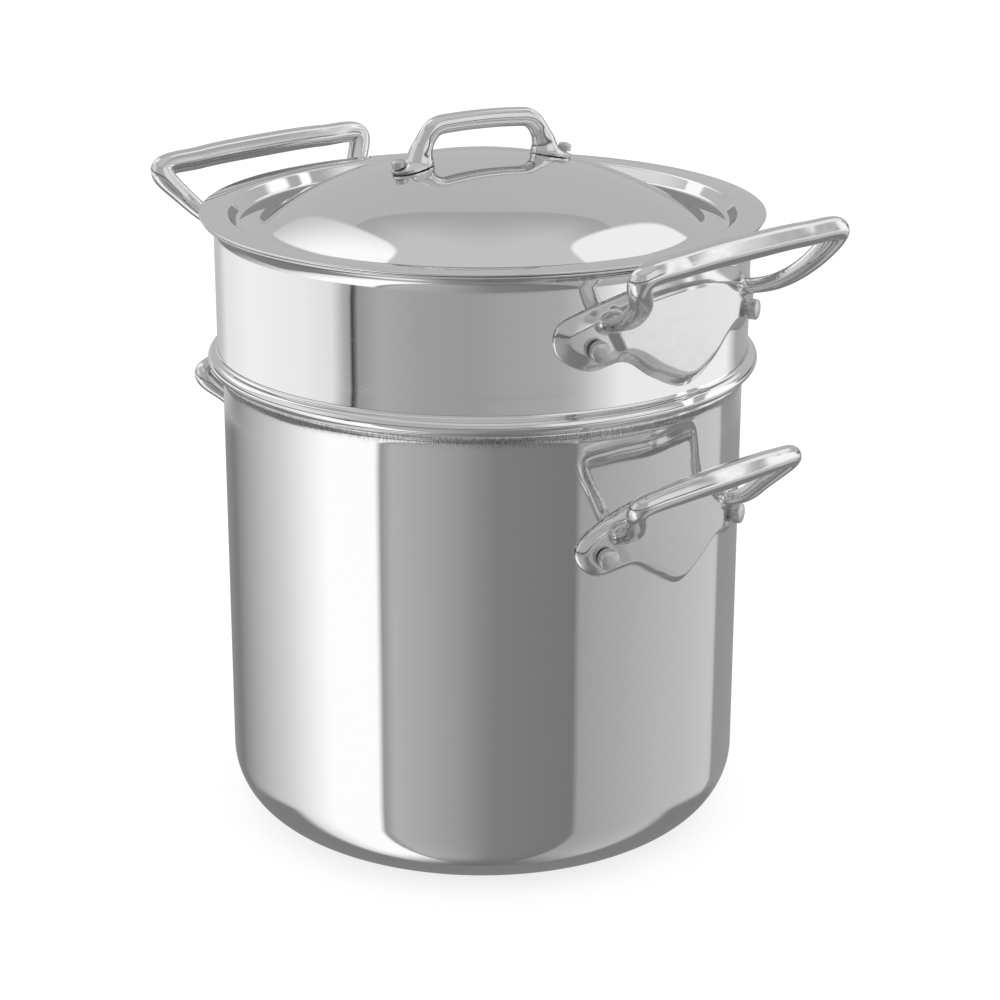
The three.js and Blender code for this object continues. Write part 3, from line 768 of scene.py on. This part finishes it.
# Material with a metal shader, ready for its detail.
def metal(name):
    material = bpy.data.materials.new(name)
    material.use_nodes = True
    nodes = Nodes(material.node_tree)
    shader = material.node_tree.nodes["Principled BSDF"]
    shader.inputs["Metallic"].default_value = 1.0
    return material, nodes, shader


# Noise on Object coordinates, with its own scale along each axis.
def grain(nodes, vector, scale, detail=2.0, roughness=0.5):
    scaled = nodes.vector("MULTIPLY", vector, scale)
    inputs = {"Vector": scaled, "Scale": 1.0, "Detail": detail, "Roughness": roughness}
    return nodes.add("ShaderNodeTexNoise", inputs).outputs["Fac"]


# Relief from a height, over another relief where one is given.
def bumped(nodes, height, strength, distance, under=None):
    inputs = {"Height": height, "Strength": strength, "Distance": distance}
    if under is not None:
        inputs["Normal"] = under
    return nodes.add("ShaderNodeBump", inputs).outputs[0]


# Coordinates of a turned surface: distance from the axis, turn about it, and height.
def lathe_coordinates(nodes):
    place = nodes.add("ShaderNodeTexCoord").outputs["Object"]
    parts = nodes.add("ShaderNodeSeparateXYZ", {0: place}).outputs
    square = nodes.math("ADD", nodes.math("POWER", parts[0], 2.0), nodes.math("POWER", parts[1], 2.0))
    radius = nodes.math("SQRT", square)
    turn = nodes.math("ARCTAN2", parts[1], parts[0])
    combined = nodes.add("ShaderNodeCombineXYZ", {"X": radius, "Y": turn, "Z": parts[2]}).outputs[0]
    return place, combined, parts[2]


# Share of the band at the pot's lip, under the insert's bead: brushed and darkened with painted shade, and
# fading downwards at a ragged edge.
def brushed_shaded_band(nodes, lathe, height, low, high):
    ragged = nodes.math("MULTIPLY_ADD", grain(nodes, lathe, BAND_EDGE, 2.0), 0.003, -0.0015)
    level = nodes.math("ADD", height, ragged)
    lower_edge = nodes.span(level, low - 0.0007, low + 0.0036)
    upper_edge = nodes.span(height, high + 0.0004, high - 0.0002)
    return nodes.math("MULTIPLY", lower_edge, upper_edge)


# Share of a vessel's inside: the wall that faces the axis, and the floor.
def vessel_inside(nodes, place, height):
    facing = nodes.add("ShaderNodeTexCoord").outputs["Normal"]
    spoke = nodes.vector("NORMALIZE", nodes.vector("MULTIPLY", place, (1, 1, 0)))
    sides = nodes.span(nodes.vector("DOT_PRODUCT", facing, spoke), -0.25, -0.55)
    upward = nodes.span(nodes.vector("DOT_PRODUCT", facing, (0, 0, 1)), 0.3, 0.6)
    bottom = nodes.math("MULTIPLY", upward, nodes.span(height, 0.09, 0.08))
    return nodes.math("MAXIMUM", sides, bottom)


# Drawn sheet: polished, with lines round the axis, smears and hair scratches; where band heights are given, a
# band of brushing and painted shade; a deep vessel is satin inside.
def drawn_steel(name, colour, gloss, band_heights=None, deep=False):
    material, nodes, shader = metal(name)
    place, lathe, height = lathe_coordinates(nodes)
    lines = grain(nodes, lathe, DRAWING_LINES, 3.0, 0.7)
    smears = grain(nodes, place, SMEARS, 3.0, 0.55)
    shade = nodes.math("MULTIPLY_ADD", lines, 0.04, nodes.math("MULTIPLY_ADD", smears, 0.04, 0.94))
    scratch = nodes.span(grain(nodes, place, HAIR_SCRATCHES, 1.0), 0.71, 0.74, 0.0, 0.05)
    roughness = nodes.math("ADD", nodes.span(smears, 0.3, 0.75, *gloss), scratch)
    relief = nodes.math("MULTIPLY", lines, 0.12)
    if band_heights:
        band = brushed_shaded_band(nodes, lathe, height, *band_heights)
        fuzz = grain(nodes, lathe, BAND_FUZZ, 2.0, 0.7)
        # Painted shade: dark strokes in the band's colour, strongest at its top under the insert's bead
        painted_shade = nodes.math("MULTIPLY", band, nodes.span(fuzz, 0.34, 0.62, 0.75, -0.05))
        roughness = nodes.math("ADD", roughness, nodes.math("MULTIPLY", band, 0.12))
        shade = nodes.math("SUBTRACT", shade, painted_shade)
        relief = nodes.math("ADD", relief, nodes.math("MULTIPLY", band, fuzz))
    if deep:
        satin = vessel_inside(nodes, place, height)
        roughness = nodes.math("MULTIPLY_ADD", satin, 0.26, roughness)
        shade = nodes.math("SUBTRACT", shade, nodes.math("MULTIPLY", satin, 0.22))
        nodes.feed(shader.inputs["Metallic"], nodes.span(satin, 0.0, 1.0, 1.0, 0.4))
    tint = nodes.vector("SCALE", colour[:3])
    nodes.feed(tint.node.inputs["Scale"], shade)
    nodes.feed(shader.inputs["Base Color"], tint)
    nodes.feed(shader.inputs["Roughness"], roughness)
    wavy = bumped(nodes, grain(nodes, place, SHEET_WAVES, 1.0), 0.04, 0.001)
    nodes.feed(shader.inputs["Normal"], bumped(nodes, relief, 0.04, 0.0002, wavy))
    return material


# Cast and buffed steel of the handles: soft waviness, and buffing marks in the gloss.
def cast_steel(name, colour):
    material, nodes, shader = metal(name)
    place = nodes.add("ShaderNodeTexCoord").outputs["Object"]
    waves = grain(nodes, place, CAST_WAVES, 1.0)
    marks = grain(nodes, place, BUFFING_MARKS)
    nodes.feed(shader.inputs["Base Color"], colour)
    nodes.feed(shader.inputs["Roughness"], nodes.span(marks, 0.3, 0.75, 0.11, 0.15))
    nodes.feed(shader.inputs["Normal"], bumped(nodes, waves, 0.1, 0.0005))
    return material


# Satin steel of the rivets, with faint marks of the tool that set them.
def rivet_steel(name, colour):
    material, nodes, shader = metal(name)
    place = nodes.add("ShaderNodeTexCoord").outputs["Object"]
    marks = grain(nodes, place, TOOL_MARKS)
    patches = grain(nodes, place, SATIN_PATCHES)
    nodes.feed(shader.inputs["Base Color"], colour)
    nodes.feed(shader.inputs["Roughness"], nodes.span(patches, 0.3, 0.7, 0.34, 0.44))
    nodes.feed(shader.inputs["Normal"], bumped(nodes, marks, 0.12, 0.0002))
    return material


# Finishes, with the drawn sheets' roughness from gloss to smear and the height of the pot's band of brushing
# and painted shade
SHEET_COLOUR = (0.83, 0.83, 0.835, 1)
DRUM_COLOUR = (0.84, 0.84, 0.845, 1)
CAST_COLOUR = (0.76, 0.76, 0.765, 1)
RIVET_COLOUR = (0.66, 0.66, 0.67, 1)
POT_BRUSHED_SHADED_BAND = (0.2150, 0.2212)
POT_STEEL = drawn_steel("pot_drawn_steel", SHEET_COLOUR, (0.035, 0.06), band_heights=POT_BRUSHED_SHADED_BAND, deep=True)
INSERT_STEEL = drawn_steel("insert_drawn_steel", DRUM_COLOUR, (0.018, 0.035), deep=True)
LID_STEEL = drawn_steel("lid_drawn_steel", SHEET_COLOUR, (0.01, 0.022))
CAST_STEEL = cast_steel("cast_steel", CAST_COLOUR)
RIVET_STEEL = rivet_steel("rivet_steel", RIVET_COLOUR)

# Geometry trees
TURNED = turned_tree()
PERFORATIONS = perforation_tree()
RIVETS = rivet_tree()


# Piece that rides on a body and stands for CAD nodes, which it hides; the slot it is given is not used.
def stand_for(piece, body, slot, *nodes):
    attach(piece, body)
    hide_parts(*nodes)


# Points of the four rivets of a vessel, behind its wall.
def side_rivet_places(grip, wall):
    radius = grip["wall"] - wall - HEAD_GAP
    turn = grip["rivet_at"] / grip["wall"]
    return [polar(radius, t, grip["height"]) for t in (-turn, turn, math.pi - turn, math.pi + turn)]


# Both handles of a vessel and their rivets.
def dress_handles(vessel, grip, wall):
    surface = side_handle(grip)
    for side, turn in (("right", 0), ("left", 180)):
        handle = cast_piece(f"{vessel}_grip_{side}", surface, turn, grip["height"])
        stand_for(handle, vessel, "cast_steel", f"{vessel}_handle_{side}")
    stack = wall + SEAT_GAP + PAD_THICKNESS
    places = side_rivet_places(grip, wall)
    heads = rivets(f"{vessel}_rivets", SIDE_RIVET, stack, places, (0, 0, grip["height"]))
    names = [f"{vessel}_rivet_{side}_{i}" for side in ("right", "left") for i in (1, 2)]
    stand_for(heads, vessel, "rivet_steel", *names)


# Pot
pot_shell = turned_piece("pot_shell", pot_section(), SHELL_SEGMENTS, POT_STEEL)
stand_for(pot_shell, "pot", "polished_steel", "pot_body")
dress_handles("pot", POT_GRIP, POT_WALL)

# Insert
insert_shell = turned_piece("insert_shell", insert_section(), SHELL_SEGMENTS, INSERT_STEEL)
shaped(
    insert_shell, PERFORATIONS,
    hole_radius=4.0 * METRE, rows=4, holes_per_row=18, row_pitch=30.0 * METRE,
    first_row=(BASKET_BOTTOM + 34.0) * METRE, wall_radius=BASKET_RADIUS * METRE,
    floor=BASKET_BOTTOM * METRE, floor_holes=19, ring_pitch=26.0 * METRE,
    drill_length=4.8 * METRE, finish=INSERT_STEEL,
)
stand_for(insert_shell, "insert", "polished_steel", "insert_body")
dress_handles("insert", INSERT_GRIP, INSERT_SHEET)

# Lid
lid_shell = turned_piece("lid_shell", lid_section(), SHELL_SEGMENTS, LID_STEEL)
stand_for(lid_shell, "lid", "polished_steel", "lid_body")
lid_bow = cast_piece("lid_bow", lid_handle(), LID_TURN, 0.0)
stand_for(lid_bow, "lid", "cast_steel", "lid_handle")
rivet_lean = math.asin(LID_RIVET_AT / DOME_RADIUS)
behind = DOME_RADIUS - LID_SHEET - HEAD_GAP
lid_rivet_places = [
    polar(behind * math.sin(rivet_lean), turn, DOME_CENTRE + behind * math.cos(rivet_lean))
    for turn in (math.radians(LID_TURN), math.radians(LID_TURN + 180))
]
lid_stack = LID_SHEET + SEAT_GAP + SPOT_FACE
lid_rivets = rivets("lid_rivets", LID_RIVET, lid_stack, lid_rivet_places, (0, 0, DOME_CENTRE))
stand_for(lid_rivets, "lid", "rivet_steel", "lid_rivet_1", "lid_rivet_2")


# Grey levels that the pot's wall, the insert's drum and the upper pieces mirror, as (turn, level) in degrees
WALL_LEVELS = [
    (-180, 0.28), (-145, 0.19), (-134, 0.30), (-98, 0.64), (-72, 1.0), (-47, 1.0),
    (-45.6, 0.27), (-40, 0.44), (-14, 0.33), (5, 0.21), (41, 0.18), (43.2, 0.34),
    (86, 0.46), (125, 0.55), (129, 0.53), (131, 0.28), (180, 0.28),
]
DRUM_LEVELS = [
    (-180, 0.40), (-153, 0.51), (-142, 0.75), (-116, 0.87), (-82, 0.82), (-66, 0.73), (-60, 0.4),
    (-57.5, 0.34), (-56.7, 0.04), (-55.5, 0.04), (-54, 0.29), (-43, 0.39), (-26, 0.34), (-5, 0.32),
    (15, 0.36), (32, 0.38), (41, 0.46), (60, 0.82), (128, 0.85), (140, 0.35), (180, 0.40),
]
UPPER_LEVELS = [
    (-180, 0.45), (-150, 0.45), (-122, 0.5), (-102, 0.7), (-74, 0.7), (-52, 0.45), (-30, 0.42),
    (20, 0.42), (32, 0.74), (78, 0.74), (92, 0.4), (150, 0.45), (180, 0.45),
]

# Soft boxes behind the pot in degrees; the edge towards the middle leans by a share of the height
LEFT_BOX = dict(inner=164.3, lean=0.32, outer=118.0, bottom=18.5, top=62.5)
RIGHT_BOX = dict(inner=159.6, lean=0.22, outer=124.0, bottom=22.5, top=61.0)
BOX_SOFT = 0.7
BOX_CORNER = 10.0

# Ceiling over the pot: its edge in degrees, bent down beside the middle, and its heights and levels
CEILING_EDGE = (54.0, 55.2)
CEILING_BEND = 0.0165
CEILING_BEND_END = 26.0
CEILING_FADE = (54.4, 74.0, 0.37, 0.54)

# Cards at the right: where they start and end along +Y, their foot and top in degrees, and their level
FLAG = dict(start=0.752, end=0.815, foot=-12.0, top=None, level=0.4)
CARD = dict(start=0.69, end=0.752, foot=-8.0, top=(46.0, 42.0), level=1.1)
LAMP = dict(start=0.83, end=None, foot=-8.0, top=(46.0, 42.0), level=1.0)
CARD_SOFT = 0.015
CARD_CORNER = 0.05
CARD_PER_DEGREE = 0.01

STUDIO_GAIN = 1.2
EVEN_LIGHT = 1.08


def grey(level):
    return (level, level, level, 1)


# Ramp of grey levels round the horizon: degrees from the camera's side, positive to its right.
def horizon(nodes, turn, stops):
    ramp = nodes.add("ShaderNodeValToRGB", {"Fac": turn})
    elements = ramp.color_ramp.elements
    while len(elements) < len(stops):
        elements.new(0.5)
    for element, (angle, level) in zip(elements, stops):
        element.position = angle / 360 + 0.5
        element.color = grey(level)
    return ramp.outputs["Color"]


# Studio: soft boxes, dark flags and pale walls that only reflections see, in even white light.
def studio():
    world = bpy.data.worlds.new("studio")
    bpy.context.scene.world = world
    world.use_nodes = True
    world.cycles.sampling_method = "NONE"
    nodes = Nodes(world.node_tree)
    background = world.node_tree.nodes["Background"]
    direction = nodes.add("ShaderNodeTexCoord").outputs["Generated"]
    side = nodes.vector("DOT_PRODUCT", direction, (math.sqrt(0.5), math.sqrt(0.5), 0))
    towards = nodes.vector("DOT_PRODUCT", direction, (math.sqrt(0.5), -math.sqrt(0.5), 0))
    rise = nodes.math("ARCSINE", nodes.add("ShaderNodeSeparateXYZ", {0: direction}).outputs["Z"])
    rise = nodes.math("DEGREES", rise)
    azimuth = nodes.math("DEGREES", nodes.math("ARCTAN2", side, towards))
    swing = nodes.math("ABSOLUTE", azimuth)
    turn = nodes.math("MULTIPLY_ADD", azimuth, 1 / 360, 0.5)
    path = nodes.add("ShaderNodeLightPath").outputs

    def blend(low, high, share):
        node = nodes.add("ShaderNodeMix", {"Factor": share}, data_type="RGBA")
        colours = [s for s in node.inputs if s.type == "RGBA"]
        nodes.feed(colours[0], low)
        nodes.feed(colours[1], high)
        return [s for s in node.outputs if s.type == "RGBA"][0]

    def grey_of(level):
        return nodes.add("ShaderNodeCombineColor", {i: level for i in range(3)}).outputs[0]

    def more(value, limit):
        return nodes.math("SUBTRACT", value, limit)

    def less(value, limit):
        return nodes.math("SUBTRACT", limit, value)

    def both(first, second):
        return nodes.math("MULTIPLY", first, second)

    # Share of the sky inside all the given edges, which are above 0 inside, with rounded corners.
    def patch(soft, corner, *edges):
        inside = edges[0]
        for edge in edges[1:]:
            inputs = {0: inside, 1: edge, 2: corner}
            inside = nodes.add("ShaderNodeMath", inputs, operation="SMOOTH_MIN").outputs[0]
        return nodes.span(inside, -soft, soft)

    # Soft box behind the pot, seen in the dome, by its turn to the left or right
    def soft_box(aside, box):
        leaning = nodes.math("MULTIPLY_ADD", rise, box["lean"], aside)
        sides = less(leaning, box["inner"]), more(aside, box["outer"])
        return patch(BOX_SOFT, BOX_CORNER, *sides, more(rise, box["bottom"]), less(rise, box["top"]))

    # Card at the right, seen in the loops
    along = nodes.vector("DOT_PRODUCT", direction, (0, 1, 0))
    level_rise = nodes.math("MULTIPLY", rise, CARD_PER_DEGREE)
    wing = both(nodes.span(azimuth, 44.0, 50.0), nodes.span(azimuth, 129.0, 123.0))

    def side_card(card):
        edges = [more(along, card["start"])]
        if card["end"]:
            edges.append(less(along, card["end"]))
        edges.append(more(level_rise, card["foot"] * CARD_PER_DEGREE))
        share = both(patch(CARD_SOFT, CARD_CORNER, *edges), wing)
        return both(share, nodes.span(rise, *card["top"])) if card["top"] else share

    # Sky over the pot and its ceiling
    upper = horizon(nodes, turn, UPPER_LEVELS)
    aside = nodes.math("MINIMUM", less(swing, 180.0), CEILING_BEND_END)
    lifted = nodes.math("ADD", rise, nodes.math("MULTIPLY", both(aside, aside), CEILING_BEND))
    ceiling = grey_of(nodes.span(lifted, *CEILING_FADE))
    sky = blend(upper, ceiling, nodes.span(lifted, *CEILING_EDGE))

    # Boxes in the sky, and a dim sky for rays that were mirrored twice
    left = nodes.math("MULTIPLY", azimuth, -1.0)
    left_glow = grey_of(nodes.span(left, 160.0, 138.0, 0.5, 0.98))
    sky = blend(sky, left_glow, soft_box(left, LEFT_BOX))
    sky = blend(sky, grey(0.86), soft_box(azimuth, RIGHT_BOX))
    again = both(nodes.span(path["Ray Depth"], 2.4, 2.6), nodes.span(swing, 112.0, 118.0))
    sky = blend(sky, grey(0.27), both(again, nodes.span(rise, 52.0, 48.0)))

    # Room at the horizon and below, darker towards the floor, beside the pot and behind it
    drum = horizon(nodes, turn, DRUM_LEVELS)
    wall = horizon(nodes, turn, WALL_LEVELS)
    room = blend(drum, wall, nodes.span(rise, -16.5, -17.3))
    room = blend(room, grey(0.16), nodes.span(rise, -62.0, -85.0))
    room = blend(room, grey(0.2), both(nodes.span(rise, -28.0, -34.0), nodes.span(swing, 90.0, 105.0)))
    room = blend(room, grey(0.12), both(nodes.span(swing, 150.0, 140.0), nodes.span(rise, -6.0, -3.5)))
    room = blend(room, sky, nodes.span(rise, 3.0, 5.0))
    for card in (FLAG, CARD, LAMP):
        room = blend(room, grey(card["level"]), side_card(card))
    mirrored_room = nodes.vector("MULTIPLY", room, (STUDIO_GAIN, STUDIO_GAIN, STUDIO_GAIN))
    light = blend(grey(EVEN_LIGHT), mirrored_room, path["Is Glossy Ray"])
    nodes.feed(background.inputs["Color"], light)


# Plain white floor that keeps only a trace of shadow.
def floor():
    half, level = 4000.0, -0.2
    corners = [(-half, -half, level), (half, -half, level), (half, half, level), (-half, half, level)]
    plane = object_from_points("floor", corners, [(0, 1, 2, 3)])
    material = bpy.data.materials.new("floor_white")
    material.use_nodes = True
    shader = material.node_tree.nodes["Principled BSDF"]
    shader.inputs["Base Color"].default_value = grey(0.35)
    shader.inputs["Roughness"].default_value = 1.0
    shader.inputs["Specular IOR Level"].default_value = 0.0
    shader.inputs["Emission Color"].default_value = grey(1)
    shader.inputs["Emission Strength"].default_value = 0.72
    plane.data.materials.append(material)
    plane.visible_glossy = False


# Camera fitted to the photograph: lens in millimetres, place in metres, pitch and heading in degrees
CAMERA_LENS = 94.05
CAMERA_SENSOR = 36.0
CAMERA_PLACE = (0.8434, -0.8434, 0.5574)
CAMERA_PITCH = 18.84
CAMERA_HEADING = 45 - 0.401
CAMERA_ROLL = 0.0024


def camera():
    data = bpy.data.cameras.new("camera")
    data.lens = CAMERA_LENS
    data.sensor_width = CAMERA_SENSOR
    data.clip_end = 50.0
    eye = bpy.data.objects.new("camera", data)
    bpy.context.scene.collection.objects.link(eye)
    heading = Euler((math.radians(90 - CAMERA_PITCH), 0, math.radians(CAMERA_HEADING))).to_matrix().to_4x4()
    roll = Matrix.Rotation(CAMERA_ROLL, 4, "Z")
    eye.matrix_world = Matrix.Translation(CAMERA_PLACE) @ heading @ roll
    bpy.context.scene.camera = eye


studio()
floor()
camera()
bpy.context.scene.view_settings.view_transform = "Standard"
bpy.context.scene.view_settings.look = "None"
